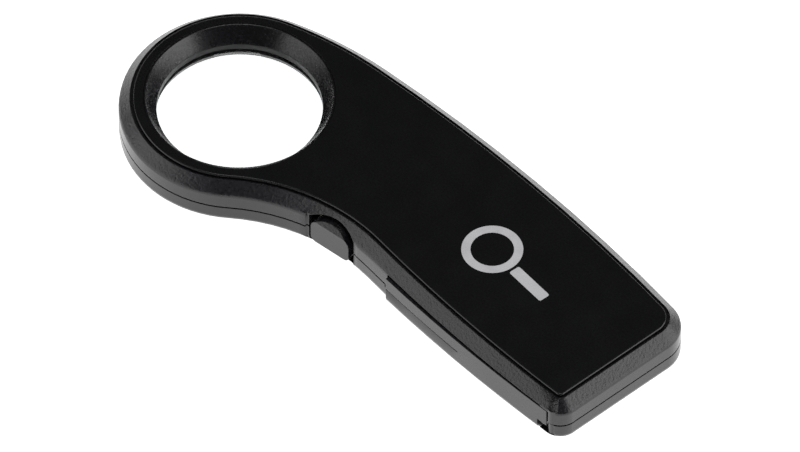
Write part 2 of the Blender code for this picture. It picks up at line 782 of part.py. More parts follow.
def contact_spring(name, x, y, sign):
    """A tapered coil that widens from its plate to the cell."""
    per_turn = 12
    count = per_turn * SPRING_TURNS
    points = []
    for i in range(count + 1):
        share = i / count
        radius = (2.2 + 1.3 * share) * MM
        angle = 2 * pi * i / per_turn
        along = SPRING_WIRE_R + (SPRING_L - 2 * SPRING_WIRE_R) * share
        points.append((x + sign * along, y + radius * cos(angle), CELL_Z + radius * sin(angle)))
    return tube(name, points, SPRING_WIRE_R, NICKEL, smooth_path=False)


negative_spring = contact_spring("negative_spring", BAY_X, CELL_FAR_Y, 1)
bridge_spring = contact_spring("bridge_spring", BAY_X + BAY_L, CELL_NEAR_Y, -1)


def contact_plate(name, x, low_y, high_y):
    low_z = CELL_Z - PLATE_H / 2
    return box(name, (x, low_y, low_z), (x + PLATE_T, high_y, low_z + PLATE_H), NICKEL, None, 0.1 * MM)


half_plate = CELL_R - 0.9 * MM
positive_contact = contact_plate(
    "positive_contact", LEFT_PLATE_X, CELL_NEAR_Y - half_plate, CELL_NEAR_Y + half_plate
)
negative_contact = contact_plate(
    "negative_contact", LEFT_PLATE_X, CELL_FAR_Y - half_plate, CELL_FAR_Y + half_plate
)
bridge_contact = contact_plate(
    "bridge_contact", RIGHT_PLATE_X, CELL_NEAR_Y - half_plate, CELL_FAR_Y + half_plate
)

# ---- Wires from the contacts to the board ---------------------------------------------------
BOARD_EDGE_X = BOARD_X[1]
WIRE_LOW_Z = FLOOR + WIRE_R + 0.4 * MM
wire_end_x = LEFT_PLATE_X - WIRE_R - 0.2 * MM
LEFT_RIB_LOW_Z = WIRE_LOW_Z + 3.4 * MM


def wire(name, y_board, y_mid, y_contact, material):
    """A wire from the top of the board, down to the floor and up to the back of its contact."""
    return tube(
        name,
        [
            (BOARD_EDGE_X - 2.2 * MM, y_board, BOARD_TOP_Z + WIRE_R + 0.3 * MM),
            (BOARD_EDGE_X + 1.2 * MM, y_board, BOARD_TOP_Z + WIRE_R + 0.1 * MM),
            (BOARD_EDGE_X + 4.0 * MM, y_mid, WIRE_LOW_Z),
            ((BOARD_EDGE_X + wire_end_x) / 2 + 2 * MM, (y_mid + y_contact) / 2, WIRE_LOW_Z),
            (wire_end_x - 0.8 * MM, y_contact, WIRE_LOW_Z + 0.4 * MM),
            (wire_end_x, y_contact, WIRE_LOW_Z + 1.5 * MM),
        ],
        WIRE_R,
        material,
    )


wire_positive = wire("wire_positive", 6.4 * MM, 6.2 * MM, 2.2 * MM, WIRE_RED)
wire_negative = wire("wire_negative", 10.2 * MM, 10.4 * MM, 9.4 * MM, WIRE_BLACK)

# ---- Battery door ---------------------------------------------------------------------------
OUTER_Y = NEAR_CREST[1] - 4 * MM


def door_plan(spread, low_end_x):
    """Plan of the door, grown by spread: its free edge is an arc about the pin, so that it swings clear."""
    reach = DOOR_REACH + spread
    inner = DOOR_INNER_Y + spread
    end_angle = pi - atan2(inner - PIN_AT[1], sqrt(reach**2 - (inner - PIN_AT[1]) ** 2))
    start_angle = pi + atan2(PIN_AT[1] - OUTER_Y, reach)
    points = []
    for i in range(9):
        angle = start_angle + (end_angle - start_angle) * i / 8
        points.append((PIN_AT[0] + reach * cos(angle), PIN_AT[1] + reach * sin(angle)))
    points.append((low_end_x + spread, inner))
    points.append((low_end_x + spread, OUTER_Y))
    return points


# The door is a piece of the case's own skin, turned out a little about the pin.
door_turn = about_pin(DOOR_PROUD / DOOR_REACH)
battery_door = case_solid(
    "battery_door", [(0.0, DOOR_TOP_Z)] + [(inset, z) for inset, z in LOWER_OUT], CASE_BLACK
)
battery_door.data.transform(door_turn)
door_cavity = case_solid("door_cavity", [(WALL, DOOR_TOP_Z + PAST)] + LOWER_IN)
door_cavity.data.transform(door_turn)
door_body = stack(
    "door_body",
    [(door_plan(0.0, DOOR_LOW_END_X), -PAST), (door_plan(0.0, DOOR_LOW_END_X), DOOR_TOP_Z + PAST)],
)
# Past its lower end the door's skin runs on to the knuckles, and is hollowed round them.
door_tail = box(
    "door_tail",
    (DOOR_LOW_END_X - PAST, OUTER_Y, DOOR_TAIL_LOW_Z),
    (PIN_AT[0], PIN_AT[1] + KNUCKLE_R / 2, DOOR_TOP_Z + PAST),
)
join(door_body, door_tail)
knuckle_room = cylinder("knuckle_room", PIN_AT, KNUCKLE_R + GAP, DOOR_TAIL_LOW_Z - GAP, CASE_T)
DOOR_KNUCKLE_Z = (WALL_LOW_Z + 0.2 * MM, SEAM_Z - GAP)
door_knuckle = cylinder("door_knuckle", PIN_AT, DOOR_KNUCKLE_R, *DOOR_KNUCKLE_Z)
door_arm = box(
    "door_arm",
    (DOOR_LOW_END_X - WALL, PIN_AT[1] - 0.5 * DOOR_KNUCKLE_R, DOOR_KNUCKLE_Z[0]),
    (PIN_AT[0], PIN_AT[1] + 0.45 * DOOR_KNUCKLE_R, DOOR_KNUCKLE_Z[1]),
)
door_web = box(
    "door_web",
    (DOOR_LOW_END_X - 1.5 * WALL, near_side_y(DOOR_LOW_END_X, WALL / 2), DOOR_KNUCKLE_Z[0]),
    (DOOR_LOW_END_X, PIN_AT[1] + 0.45 * DOOR_KNUCKLE_R, DOOR_KNUCKLE_Z[1]),
)
pin_bore = cylinder("pin_bore", PIN_AT, PIN_R + PIN_PLAY, PIN_Z[0] - 0.3 * MM, PIN_Z[1] + 0.2 * MM)


def side_strip(start_x, end_x, inset_out, inset_in):
    """Plan of a strip along the near side, between two insets."""
    points = []
    for i in range(9):
        x = start_x + (end_x - start_x) * i / 8
        points.append((x, near_side_y(x, inset_out)))
    for i in range(9):
        x = end_x + (start_x - end_x) * i / 8
        points.append((x, near_side_y(x, inset_in)))
    return points


line_z = SEAM_Z + GAP / 2
door_line_plan = side_strip(PIN_AT[0] - DOOR_REACH - PAST, DOOR_LINE_END_X, -PAST, DOOR_LINE[1])
door_line = stack("door_line", [(door_line_plan, line_z - DOOR_LINE[0]), (door_line_plan, line_z)])
door_line.data.transform(door_turn)
cut(battery_door, door_cavity)
keep(battery_door, door_body)
cut(battery_door, knuckle_room)
join(battery_door, door_web, door_arm, door_knuckle)
cut(battery_door, pin_bore, door_line)

door_hinge_pin = cylinder("door_hinge_pin", PIN_AT, PIN_R, *PIN_Z, STEEL, None, 20)

# Room for the door in the two shells.
door_room = stack(
    "door_room",
    [(door_plan(GAP, HINGE_ROOM_X), -PAST), (door_plan(GAP, HINGE_ROOM_X), WALL_TOP_Z)],
)
tail_room = box(
    "tail_room",
    (DOOR_LOW_END_X - PAST, OUTER_Y, SEAM_Z - PAST),
    (PIN_AT[0], PIN_AT[1] + KNUCKLE_R, DOOR_TOP_Z + 0.15 * MM),
)
arm_room = box(
    "arm_room",
    (DOOR_LOW_END_X - PAST, OUTER_Y, WALL_LOW_Z),
    (PIN_AT[0], PIN_AT[1] + KNUCKLE_R, SEAM_Z),
)
arm_swing_room = cylinder("arm_swing_room", PIN_AT, DOOR_KNUCKLE_R + GAP, WALL_LOW_Z, SEAM_Z)
shell_knuckle = cylinder("shell_knuckle", PIN_AT, KNUCKLE_R, SEAM_Z + SEAM / 2, WALL_TOP_Z + EDGE_SOFT)

# ---- Screws ---------------------------------------------------------------------------------
screw_holes = []
pilot_holes = []
low_bosses = []
top_bosses = []
for number, at in enumerate(SCREWS_AT, 1):
    head_top = SCREW_SEAT_Z - SCREW_PLAY
    turned(
        f"case_screw_{number}",
        [
            (0.0, SCREW_TOP_Z),
            (SCREW_R * 0.4, SCREW_TOP_Z),
            (SCREW_R, SCREW_TOP_Z - SCREW_R),
            (SCREW_R, head_top),
            (SCREW_HEAD_R, head_top),
            (SCREW_HEAD_R, head_top - 0.6 * SCREW_HEAD_H),
            (0.7 * SCREW_HEAD_R, head_top - SCREW_HEAD_H),
            (0.0, head_top - SCREW_HEAD_H),
        ],
        STEEL,
        Matrix.Translation((*at, 0.0)),
        24,
    )
    clear_r = SCREW_R + SCREW_PLAY
    screw_holes.append(cylinder(f"screw_way_{number}", at, clear_r, SCREW_SEAT_Z - PAST, SEAM_Z + PAST, segments=24))
    screw_holes.append(
        cylinder(f"screw_sink_{number}", at, SCREW_HEAD_R + SCREW_PLAY, -PAST, SCREW_SEAT_Z, segments=24)
    )
    pilot_holes.append(
        cylinder(f"screw_pilot_{number}", at, clear_r, SEAM_Z - PAST, SCREW_TOP_Z + 0.3 * MM, segments=24)
    )
    low_bosses.append(
        cylinder(f"low_boss_{number}", at, BOSS_R + 0.4 * MM, FLOOR / 2, SEAM_Z - SEAM / 2, segments=24)
    )
    top_bosses.append(
        cylinder(f"top_boss_{number}", at, BOSS_R, SEAM_Z + SEAM / 2, ROOF_Z + ROOF / 2, segments=24)
    )

# ---- Shells ---------------------------------------------------------------------------------
top_shell = case_solid("top_shell", [(0.0, SEAM_Z + SEAM / 2)] + UPPER_OUT, CASE_BLACK)
cut(top_shell, case_solid("top_cavity", [(WALL, SEAM_Z - PAST)] + UPPER_IN))
join(top_shell, cylinder("top_barrel", (0, 0), BARREL_R, SEAM_Z + SEAM / 2, ROOF_Z + ROOF / 2, segments=ROUND))
join(top_shell, *top_bosses)
bay_roof_z = ROOF_Z + ROOF / 2
rib_near_y = CELL_NEAR_Y - half_plate
bay_left = box(
    "bay_left",
    (LEFT_RIB_X, rib_near_y, LEFT_RIB_LOW_Z),
    (LEFT_RIB_X + RIB_T, BAY_INNER_Y + RIB_T, bay_roof_z),
)
bay_right = box(
    "bay_right",
    (RIGHT_RIB_X, rib_near_y, BAY_RIB_LOW_Z),
    (RIGHT_RIB_X + RIB_T, BAY_INNER_Y + RIB_T, bay_roof_z),
)
bay_inner = box(
    "bay_inner",
    (LEFT_RIB_X, BAY_INNER_Y, BAY_RIB_LOW_Z),
    (RIGHT_RIB_X + RIB_T, BAY_INNER_Y + RIB_T, bay_roof_z),
)
join(top_shell, bay_left, bay_right, bay_inner)
cut(top_shell, door_room, tail_room)
join(top_shell, shell_knuckle)
cut(top_shell, pin_bore)
panel_recess = case_solid("panel_recess", [(RECESS_INSET, PANEL_FLOOR_Z), (RECESS_INSET, CASE_T + PAST)])
cut(top_shell, panel_recess, opening_front, button_hole, button_frame, *pilot_holes)

bottom_shell = case_solid("bottom_shell", [(0.0, SEAM_Z - SEAM / 2)] + LOWER_OUT, CASE_BLACK)
cut(bottom_shell, case_solid("bottom_cavity", [(WALL, SEAM_Z + PAST)] + LOWER_IN))
join(
    bottom_shell,
    cylinder("bottom_barrel", (0, 0), BARREL_R, FLOOR / 2, SEAM_Z - SEAM / 2, segments=ROUND),
    *low_bosses,
)
for number, at in enumerate(((36.0, 0.5), (36.0, 15.0), (51.5, 15.0)), 1):
    post = cylinder(
        f"board_post_{number}",
        (at[0] * MM, at[1] * MM),
        1.4 * MM,
        FLOOR / 2,
        BOARD_Z - 0.15 * MM,
        segments=20,
    )
    join(bottom_shell, post)
cut(bottom_shell, door_room, arm_room, arm_swing_room)
cut(bottom_shell, pin_bore)
nail_pit = cylinder(
    "nail_pit",
    (PIN_AT[0] - DOOR_REACH - GAP - 0.8 * NAIL_PIT_R, near_side_y(PIN_AT[0] - DOOR_REACH)),
    NAIL_PIT_R,
    SEAM_Z - 2 * NAIL_PIT_R,
    SEAM_Z + PAST,
)
cut(bottom_shell, opening_back, button_hole, button_frame, nail_pit, *led_holes, *screw_holes)
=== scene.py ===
# %% [markdown]
# # A lit hand lens on a studio table
#
# The object is a flat pocket lens: a round head with a clear lens, a bent handle that holds two
# cells, a push button in the neck and a battery door in the side. This lesson dresses the
# engineering model in finer shapes and real materials, and then sets up a plain product shot.
#
# The engineering model is loaded first. It never moves, and each finer piece rides on one of its
# bodies, so the finished object can still be opened and pressed.

import json
from math import atan2, ceil, cos, hypot, pi, radians, sin, sqrt

import bmesh
import bpy
from mathutils import Matrix, Vector


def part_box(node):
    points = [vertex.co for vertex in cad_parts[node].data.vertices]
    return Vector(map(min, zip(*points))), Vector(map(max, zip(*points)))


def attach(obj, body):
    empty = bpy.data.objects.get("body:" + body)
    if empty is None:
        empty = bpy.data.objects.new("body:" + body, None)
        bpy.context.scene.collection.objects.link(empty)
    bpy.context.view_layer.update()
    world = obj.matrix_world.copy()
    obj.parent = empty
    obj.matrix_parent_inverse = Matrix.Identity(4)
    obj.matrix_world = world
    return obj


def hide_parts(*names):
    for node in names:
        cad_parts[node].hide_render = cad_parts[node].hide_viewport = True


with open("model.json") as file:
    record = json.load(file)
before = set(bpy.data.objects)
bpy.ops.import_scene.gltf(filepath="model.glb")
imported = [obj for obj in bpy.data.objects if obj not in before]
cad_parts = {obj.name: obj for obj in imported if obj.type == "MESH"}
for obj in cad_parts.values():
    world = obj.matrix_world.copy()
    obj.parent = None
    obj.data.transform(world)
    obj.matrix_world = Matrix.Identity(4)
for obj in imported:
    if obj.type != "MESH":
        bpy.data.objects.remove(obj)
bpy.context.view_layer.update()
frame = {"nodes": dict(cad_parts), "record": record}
nodes = frame["nodes"]

# %% [markdown]
# ## Colours and nodes
#
# Real colours are usually noted as sRGB hex values, as a paint chart or a picture shows them, but a
# renderer works on linear light. One function turns the one into the other.
#
# A second small function adds a shader node, sets its properties and sockets, and links its inputs.
# With it, a material reads from top to bottom like a recipe.

# %% Helpers for colours and nodes
MM = 0.001


def linear(hex_colour):
    """The linear colour of an sRGB hex value, with full alpha."""
    values = [int(hex_colour[i : i + 2], 16) / 255 for i in (1, 3, 5)]
    return [v / 12.92 if v <= 0.04045 else ((v + 0.055) / 1.055) ** 2.4 for v in values] + [1.0]


def node(tree, kind, settings=None, **sockets):
    """A new node. A socket takes a value, or another node's output, which is linked to it."""
    made = tree.nodes.new(kind)
    for name, value in (settings or {}).items():
        setattr(made, name, value)
    for name, value in sockets.items():
        socket = made.inputs[int(name[1:])] if name[0] == "_" else made.inputs[name.replace("_", " ")]
        if isinstance(value, bpy.types.NodeSocket):
            tree.links.new(value, socket)
        else:
            socket.default_value = value
    return made


def new_material(name, **sockets):
    """(material, its tree, its Principled shader) with the shader's own sockets set."""
    material = bpy.data.materials.new(name)
    material.use_nodes = True
    tree = material.node_tree
    shader = tree.nodes["Principled BSDF"]
    for socket, value in sockets.items():
        shader.inputs[socket.replace("_", " ")].default_value = value
    return material, tree, shader


def ramp(tree, factor, low, high, start=0.0, end=1.0):
    """A colour ramp between two colours."""
    made = node(tree, "ShaderNodeValToRGB", _0=factor)
    made.color_ramp.elements[0].position = start
    made.color_ramp.elements[0].color = low
    made.color_ramp.elements[1].position = end
    made.color_ramp.elements[1].color = high
    return made.outputs["Color"]


print("mid grey #808080 is", [round(v, 3) for v in linear("#808080")[:3]], "in linear light")

# %% [markdown]
# ## ABS, spark textured and polished
#
# The case is moulded in black ABS. The mould of the shells was spark eroded, which leaves an even
# grain well under a millimetre across: the surface looks charcoal, because each grain
# catches a little light. The grain is made with noise on a bump node, a little coarser than the
# real one so that it still shows at this distance, and the same noise shifts the roughness.
#
# The front panel comes from a smoother mould. It looks blacker and mirrors its surroundings softly.
#
# Moulded corners are never quite sharp. A Bevel node rounds the shading at each edge by a fraction
# of a millimetre, which gives the thin highlights along the edges with no extra geometry.


# %% Moulded plastics
# A face counts as a wall up to the first upward lean of its normal, and as a slope from the second.
WALL_LEAN, SLOPE_LEAN = 0.2, 0.55
ROUGH_SPREAD = 0.08


def moulded(name, dark, light, grain_mm, relief, rough, edge_mm, wall_relief=None, wall_rough=None):
    """A moulded plastic with an even grain. Upright walls can be smoother than the slopes."""
    material, tree, shader = new_material(name, IOR=1.53)
    place = node(tree, "ShaderNodeTexCoord").outputs["Object"]
    grain_scale = 1 / (grain_mm * MM)
    grain = node(tree, "ShaderNodeTexNoise", Vector=place, Scale=grain_scale, Detail=3.0, Roughness=0.6)
    patch = node(tree, "ShaderNodeTexNoise", Vector=place, Scale=1 / (9 * MM), Detail=2.0)
    faint = node(tree, "ShaderNodeMath", {"operation": "MULTIPLY"}, _0=patch.outputs[0], _1=0.35)
    blend = node(
        tree,
        "ShaderNodeMath",
        {"operation": "MULTIPLY_ADD"},
        _0=grain.outputs[0],
        _1=0.65,
        _2=faint.outputs[0],
    )
    colour = ramp(tree, blend.outputs[0], linear(dark), linear(light), 0.35, 0.65)
    tree.links.new(colour, shader.inputs["Base Color"])
    facing = node(tree, "ShaderNodeSeparateXYZ", Vector=node(tree, "ShaderNodeNewGeometry").outputs["Normal"])
    lean = facing.outputs["Z"]
    sloped = node(tree, "ShaderNodeMapRange", Value=lean, From_Min=WALL_LEAN, From_Max=SLOPE_LEAN)
    low_rough = rough if wall_rough is None else wall_rough
    low_relief = relief if wall_relief is None else wall_relief
    finish = node(tree, "ShaderNodeMapRange", Value=sloped.outputs[0], To_Min=low_rough, To_Max=rough)
    height = node(tree, "ShaderNodeMapRange", Value=sloped.outputs[0], To_Min=low_relief, To_Max=relief)
    spread = node(
        tree,
        "ShaderNodeMapRange",
        Value=blend.outputs[0],
        From_Min=0.3,
        From_Max=0.7,
        To_Min=-ROUGH_SPREAD,
        To_Max=ROUGH_SPREAD,
    )
    summed = node(tree, "ShaderNodeMath", {"operation": "ADD"}, _0=finish.outputs[0], _1=spread.outputs[0])
    tree.links.new(summed.outputs[0], shader.inputs["Roughness"])
    edge = node(tree, "ShaderNodeBevel", {"samples": 4}, Radius=edge_mm * MM)
    bump = node(
        tree,
        "ShaderNodeBump",
        Strength=height.outputs[0],
        Distance=0.22 * grain_mm * MM,
        Height=grain.outputs[0],
        Normal=edge.outputs[0],
    )
    tree.links.new(bump.outputs[0], shader.inputs["Normal"])
    return material


TEXTURED_ABS = moulded("textured_abs", "#101013", "#211f24", 0.7, 0.9, 0.3, 0.22, 0.08, 0.22)
COLLAR_ABS = moulded("collar_abs", "#0e0e10", "#17161a", 0.7, 0.3, 0.26, 0.15)
PANEL_ABS = moulded("satin_panel_abs", "#090a0c", "#0d0e10", 0.5, 0.03, 0.28, 0.12)
RING_ABS = moulded("smooth_ring_abs", "#0b0b0c", "#0f0f10", 0.6, 0.03, 0.35, 0.1)
SWITCH_NYLON = moulded("switch_nylon", "#1d1d20", "#29292c", 0.4, 0.2, 0.5, 0.15)
WHITE_NYLON = moulded("plunger_nylon", "#c9c7bd", "#d8d6ce", 0.5, 0.1, 0.45, 0.15)
PLASTICS = (TEXTURED_ABS, COLLAR_ABS, PANEL_ABS, RING_ABS, SWITCH_NYLON, WHITE_NYLON)
print("plastics:", [m.name for m in PLASTICS])

# %% [markdown]
# ## Clear acrylic, metals and the electrical parts
#
# The lens is moulded in acrylic, which bends light less than glass does: its index is 1.49.
#
# Nickel plate and steel are metals, so their colour is in the reflection. A stretched noise along
# one axis gives the drawn or brushed look of wire and strip. The cells wear a plain printed
# sleeve, and the board a green solder mask.


# %% Clear, metal and coated materials
def metal(name, dark, light, rough, stretch):
    """A metal with fine marks that run across the given axis."""
    material, tree, shader = new_material(name, Metallic=1.0)
    place = node(tree, "ShaderNodeTexCoord").outputs["Object"]
    turned = node(tree, "ShaderNodeMapping", Vector=place, Scale=stretch)
    marks = node(tree, "ShaderNodeTexNoise", Vector=turned.outputs[0], Scale=1 / (0.8 * MM), Detail=4.0)
    colour = ramp(tree, marks.outputs[0], linear(dark), linear(light), 0.3, 0.7)
    tree.links.new(colour, shader.inputs["Base Color"])
    spread = node(
        tree,
        "ShaderNodeMapRange",
        Value=marks.outputs[0],
        From_Min=0.3,
        From_Max=0.7,
        To_Min=rough - 0.06,
        To_Max=rough + 0.08,
    )
    tree.links.new(spread.outputs[0], shader.inputs["Roughness"])
    bump = node(tree, "ShaderNodeBump", Strength=0.15, Distance=0.01 * MM, Height=marks.outputs[0])
    tree.links.new(bump.outputs[0], shader.inputs["Normal"])
    return material


def coated(name, dark, light, rough, patch_mm):
    """A lacquer, sleeve or solder mask: nearly one colour, with soft patches."""
    material, tree, shader = new_material(name, IOR=1.5)
    place = node(tree, "ShaderNodeTexCoord").outputs["Object"]
    patch = node(tree, "ShaderNodeTexNoise", Vector=place, Scale=1 / (patch_mm * MM), Detail=3.0)
    colour = ramp(tree, patch.outputs[0], linear(dark), linear(light), 0.35, 0.65)
    tree.links.new(colour, shader.inputs["Base Color"])
    spread = node(
        tree,
        "ShaderNodeMapRange",
        Value=patch.outputs[0],
        From_Min=0.3,
        From_Max=0.7,
        To_Min=rough - 0.04,
        To_Max=rough + 0.05,
    )
    tree.links.new(spread.outputs[0], shader.inputs["Roughness"])
    bump = node(tree, "ShaderNodeBump", Strength=0.1, Distance=0.02 * MM, Height=patch.outputs[0])
    tree.links.new(bump.outputs[0], shader.inputs["Normal"])
    return material


ACRYLIC, _, _ = new_material("clear_acrylic", IOR=1.49, Roughness=0.0, Transmission_Weight=1.0)
ACRYLIC.node_tree.nodes["Principled BSDF"].inputs["Base Color"].default_value = linear("#fcfefe")
LED_EPOXY, _, _ = new_material("led_epoxy", IOR=1.54, Roughness=0.08, Transmission_Weight=0.9)
LED_EPOXY.node_tree.nodes["Principled BSDF"].inputs["Base Color"].default_value = linear("#f4f2dc")
NICKEL = metal("nickel_plate", "#a7a29a", "#d2cec6", 0.3, (1.0, 1.0, 6.0))
STEEL = metal("bright_steel", "#93959a", "#c2c4c8", 0.3, (1.0, 1.0, 8.0))
SLEEVE = coated("cell_sleeve", "#23262c", "#2b2f36", 0.32, 6)
SLEEVE_BAND = coated("cell_band", "#a8682c", "#b87838", 0.3, 5)
SOLDER_MASK = coated("solder_mask", "#0f3f22", "#17542e", 0.35, 3)
LACQUER = coated("resistor_lacquer", "#b48a5c", "#c99f70", 0.35, 2)
RED_PVC = coated("red_pvc", "#8e1512", "#a31c17", 0.4, 2)
BLACK_PVC = coated("black_pvc", "#131314", "#1b1b1c", 0.4, 2)
WHITE_INK = coated("white_ink", "#eeeef2", "#f8f8fb", 0.45, 4)
print("materials so far:", len(bpy.data.materials))

# %% [markdown]
# ## Pieces from a mesh
#
# A finished piece keeps its object at the origin and its place in its mesh, as the engineering nodes
# do. One function does what every new piece needs: it makes the object, shades it smooth with
# sharp corners where two faces meet at a steep angle, rides it on its body, and hides the
# engineering nodes it stands for.
#
# Weighted normals lean each corner's shading towards its largest face, so that large flats stay
# flat next to a narrow rounded edge.


# %% The function that finishes a piece
def piece(name, bm, material, body, stands_for=(), sharp=32, weigh=True):
    """The object of a finished mesh, riding on its body."""
    mesh = bpy.data.meshes.new(name)
    bm.to_mesh(mesh)
    bm.free()
    obj = bpy.data.objects.new(name, mesh)
    bpy.context.scene.collection.objects.link(obj)
    for item in material if isinstance(material, (list, tuple)) else [material]:
        mesh.materials.append(item)
    mesh.shade_smooth()
    mesh.set_sharp_from_angle(angle=radians(sharp))
    if weigh:
        weighted = obj.modifiers.new("weighted_normals", "WEIGHTED_NORMAL")
        weighted.keep_sharp = True
    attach(obj, body)
    if stands_for:
        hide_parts(*stands_for)
    print(f"{name}: {len(mesh.polygons)} faces on {body}")
    return obj


# %% [markdown]
# ## The moulded shells, the door and the button
#
# The two shells, the door and the button already have the right shape in the engineering model, with
# the screw bosses, ribs and hinge that the real mouldings have. An imported mesh is made of loose
# triangles, though, so it can only be shaded flat. Each one is copied, its points are merged, and
# the triangles of every flat are dissolved back into one face. Then smooth shading can run round
# the head and along the bevels without a facet.


# %% Welded copies of the mouldings
def welded_copy(source):
    """A bmesh of the node with its points merged and its flats made whole."""
    bm = bmesh.new()
    bm.from_mesh(nodes[source].data)
    bmesh.ops.remove_doubles(bm, verts=bm.verts, dist=0.002 * MM)
    bmesh.ops.dissolve_limit(bm, angle_limit=radians(0.4), verts=bm.verts, edges=bm.edges)
    return bm


MOULDINGS = (
    ("top_shell_moulding", "top_shell", "case"),
    ("bottom_shell_moulding", "bottom_shell", "case"),
    ("door_moulding", "battery_door", "door"),
    ("button_moulding", "push_button", "button"),
)
for name, source, body in MOULDINGS:
    piece(name, welded_copy(source), TEXTURED_ABS, body, [source])

# %% [markdown]
# ## The case outline
#
# Seen from the front, the case is a chain of arcs that touch each other, and one straight end. The
# front panel follows the same outline a little further in, so the outline is worked out once, from
# the same sizes as the engineering model, with a finer step.

# %% Sizes of the outline
HEAD_R = 29.1 * MM
END_X = 124.5 * MM
SIDE_R = 478.0 * MM
FAR_CREST = (75.6 * MM, HEAD_R + 8.5 * MM)
NEAR_CREST = (86.1 * MM, -9.15 * MM)
SHOULDER_X = 14.5 * MM
NECK_R = 47.8 * MM
FAR_CORNER_R = 8.9 * MM
NEAR_CORNER_R = 4.8 * MM
FAR_CENTRE = (FAR_CREST[0], FAR_CREST[1] - SIDE_R)
NEAR_CENTRE = (NEAR_CREST[0], NEAR_CREST[1] + SIDE_R)
# The lens axis lies this far from the middle of the case.
LENS_X = -(END_X - HEAD_R) / 2
LENS_Y = -(FAR_CREST[1] - HEAD_R) / 2


# %% The outline as touching arcs
def corner_centre(side, radius, sign):
    """Centre of the rounded corner between a side and the straight end."""
    x = END_X - radius
    return (x, side[1] + sign * sqrt((SIDE_R - radius) ** 2 - (x - side[0]) ** 2))


def shoulder():
    """(centre, radius) of the arc between the far side and the round head."""
    x = SHOULDER_X
    y = FAR_CENTRE[1] + sqrt(SIDE_R**2 - (x - FAR_CENTRE[0]) ** 2)
    ux, uy = (FAR_CENTRE[0] - x) / SIDE_R, (FAR_CENTRE[1] - y) / SIDE_R
    radius = (HEAD_R**2 - x**2 - y**2) / (2 * (x * ux + y * uy + HEAD_R))
    return (x + radius * ux, y + radius * uy), radius


def neck():
    """Centre of the hollow arc between the head and the near side."""
    span = hypot(*NEAR_CENTRE)
    along = ((HEAD_R + NECK_R) ** 2 - (SIDE_R + NECK_R) ** 2 + span**2) / (2 * span)
    across = sqrt((HEAD_R + NECK_R) ** 2 - along**2)
    ux, uy = NEAR_CENTRE[0] / span, NEAR_CENTRE[1] / span
    return (along * ux + across * uy, along * uy - across * ux)


def angle_to(start, end):
    """The direction from one point to another."""
    return atan2(end[1] - start[1], end[0] - start[0])


def arcs():
    """(centre, radius, from, to) round the outline, counter-clockwise; the hollow arc turns back."""
    near, far = corner_centre(NEAR_CENTRE, NEAR_CORNER_R, -1), corner_centre(FAR_CENTRE, FAR_CORNER_R, 1)
    bend, bend_r = shoulder()
    hollow = neck()
    near_end, far_end = angle_to(NEAR_CENTRE, near), angle_to(FAR_CENTRE, far)
    far_start, head_start = angle_to(bend, FAR_CENTRE) + pi, angle_to(bend, (0, 0))
    head_end, neck_end = angle_to((0, 0), hollow), angle_to(hollow, NEAR_CENTRE)
    return [
        (near, NEAR_CORNER_R, near_end, 0.0),
        (far, FAR_CORNER_R, 0.0, far_end),
        (FAR_CENTRE, SIDE_R, far_end, far_start),
        (bend, bend_r, far_start, head_start),
        ((0, 0), HEAD_R, head_start, head_end + 2 * pi),
        (hollow, NECK_R, head_end + pi, neck_end),
        (NEAR_CENTRE, SIDE_R, neck_end - pi, near_end),
    ]


def outline(inset):
    """Points of the outline, moved inwards, about 1.5 mm apart or every 2 degrees."""
    points = []
    for (cx, cy), radius, start, end in arcs():
        reach = radius - inset if end > start else radius + inset
        steps = ceil(max(abs(end - start) / radians(2), abs(end - start) * radius / (1.5 * MM) / 2, 6))
        for i in range(steps):
            angle = start + (end - start) * i / steps
            points.append(Vector((cx + reach * cos(angle) + LENS_X, cy + reach * sin(angle) + LENS_Y, 0)))
    return points


print("outline points:", len(outline(0)))

# %% [markdown]
# ## The front panel
#
# The panel is one thin moulding that lies in a shallow recess, with a narrow groove all round it.
# Its top edge is rounded, and that edge draws a thin light line along the near side.
#
# The shape is a stack of sections: the outline as one ring of edges, which is extruded straight up
# and then drawn inwards along a quarter circle. A hole filler closes both ends. The opening for
# the lens is round, so it is cut with a Boolean.


# %% A stack of outline sections
def stacked(levels):
    """A closed bmesh through the outline at each (inset, height)."""
    bm = bmesh.new()
    ring = [bm.verts.new((p.x, p.y, levels[0][1])) for p in outline(levels[0][0])]
    edges = [bm.edges.new((a, b)) for a, b in zip(ring, ring[1:] + ring[:1])]
    for inset, height in levels[1:]:
        grown = bmesh.ops.extrude_edge_only(bm, edges=edges)["geom"]
        fresh = {item for item in grown if isinstance(item, bmesh.types.BMVert)}
        raised = []
        for vert, spot in zip(ring, outline(inset)):
            above = next(e.other_vert(vert) for e in vert.link_edges if e.other_vert(vert) in fresh)
            above.co = (spot.x, spot.y, height)
            raised.append(above)
        ring = raised
        grown_edges = [item for item in grown if isinstance(item, bmesh.types.BMEdge)]
        edges = [edge for edge in grown_edges if all(v in fresh for v in edge.verts)]
    bmesh.ops.holes_fill(bm, edges=bm.edges)
    bmesh.ops.recalc_face_normals(bm, faces=bm.faces)
    return bm


def carved(bm, cutter_bm):
    """The first solid with the second cut away, as a new bmesh."""
    made = []
    for part in (bm, cutter_bm):
        mesh = bpy.data.meshes.new("carving")
        part.to_mesh(mesh)
        part.free()
        obj = bpy.data.objects.new("carving", mesh)
        bpy.context.scene.collection.objects.link(obj)
        made.append(obj)
    cut = made[0].modifiers.new("cut", "BOOLEAN")
    cut.operation = "DIFFERENCE"
    cut.object = made[1]
    cut.solver = "EXACT"
    graph = bpy.context.evaluated_depsgraph_get()
    result = bmesh.new()
    result.from_mesh(made[0].evaluated_get(graph).to_mesh())
    for obj in made:
        bpy.data.meshes.remove(obj.data)
    return result


